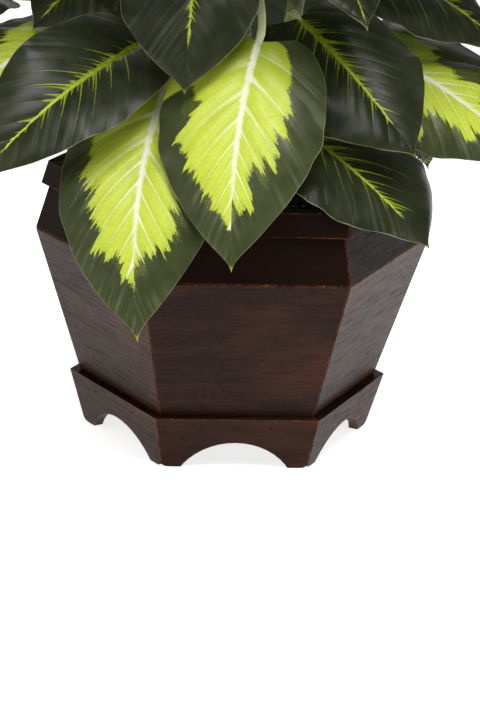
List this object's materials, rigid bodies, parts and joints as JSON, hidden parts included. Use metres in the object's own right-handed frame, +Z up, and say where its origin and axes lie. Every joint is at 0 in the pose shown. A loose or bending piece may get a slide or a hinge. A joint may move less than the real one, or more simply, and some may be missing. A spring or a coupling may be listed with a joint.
{
  "type": "potted golden dieffenbachia",
  "caption": "Bushy potted dieffenbachia with pointed golden and dark green leaves on jointed canes, in a dark wooden hexagonal planter on a low arched plinth.",
  "frame": {"origin": "on the planter's axis, on the surface that it stands on, under the middle of the whole plant", "axes": "+Z up, -Y out through the planter's front face, +X to the right of someone looking at that face"},
  "size_m": [0.4138, 0.324, 0.49],
  "materials": {
    "dark_wood": "satin",
    "liner_plastic": "matte",
    "soil": "matte",
    "stem": "satin",
    "dark_leaf": "satin",
    "gold_leaf": "satin"
  },
  "bodies": {
    "root": {"plinth_board_1": "dark_wood", "plinth_board_2": "dark_wood", "plinth_board_3": "dark_wood", "plinth_board_4": "dark_wood", "plinth_board_5": "dark_wood", "plinth_board_6": "dark_wood", "body_board_1": "dark_wood", "body_board_2": "dark_wood", "body_board_3": "dark_wood", "body_board_4": "dark_wood", "body_board_5": "dark_wood", "body_board_6": "dark_wood", "shoulder_board_1": "dark_wood", "shoulder_board_2": "dark_wood", "shoulder_board_3": "dark_wood", "shoulder_board_4": "dark_wood", "shoulder_board_5": "dark_wood", "shoulder_board_6": "dark_wood", "rim_board_1": "dark_wood", "rim_board_2": "dark_wood", "rim_board_3": "dark_wood", "rim_board_4": "dark_wood", "rim_board_5": "dark_wood", "rim_board_6": "dark_wood", "floor_board": "dark_wood", "liner": "liner_plastic", "soil": "soil", "cane_front_left": "stem", "cane_front_right": "stem", "cane_back_right": "stem", "cane_back_left": "stem", "cane_middle": "stem", "leaf_01": "gold_leaf", "leaf_02": "gold_leaf", "leaf_03": "dark_leaf", "leaf_04": "dark_leaf", "leaf_05": "gold_leaf", "leaf_06": "dark_leaf", "leaf_07": "dark_leaf", "leaf_08": "dark_leaf", "leaf_09": "gold_leaf", "leaf_10": "dark_leaf", "leaf_11": "dark_leaf", "leaf_12": "dark_leaf", "leaf_13": "dark_leaf", "leaf_14": "gold_leaf", "leaf_15": "dark_leaf", "leaf_16": "gold_leaf", "leaf_17": "dark_leaf", "leaf_18": "dark_leaf", "leaf_19": "dark_leaf", "leaf_20": "gold_leaf", "leaf_21": "dark_leaf", "leaf_22": "gold_leaf", "leaf_23": "dark_leaf", "leaf_24": "dark_leaf", "leaf_25": "gold_leaf", "leaf_26": "gold_leaf", "young_leaf": "gold_leaf"}
  },
  "joints": []
}
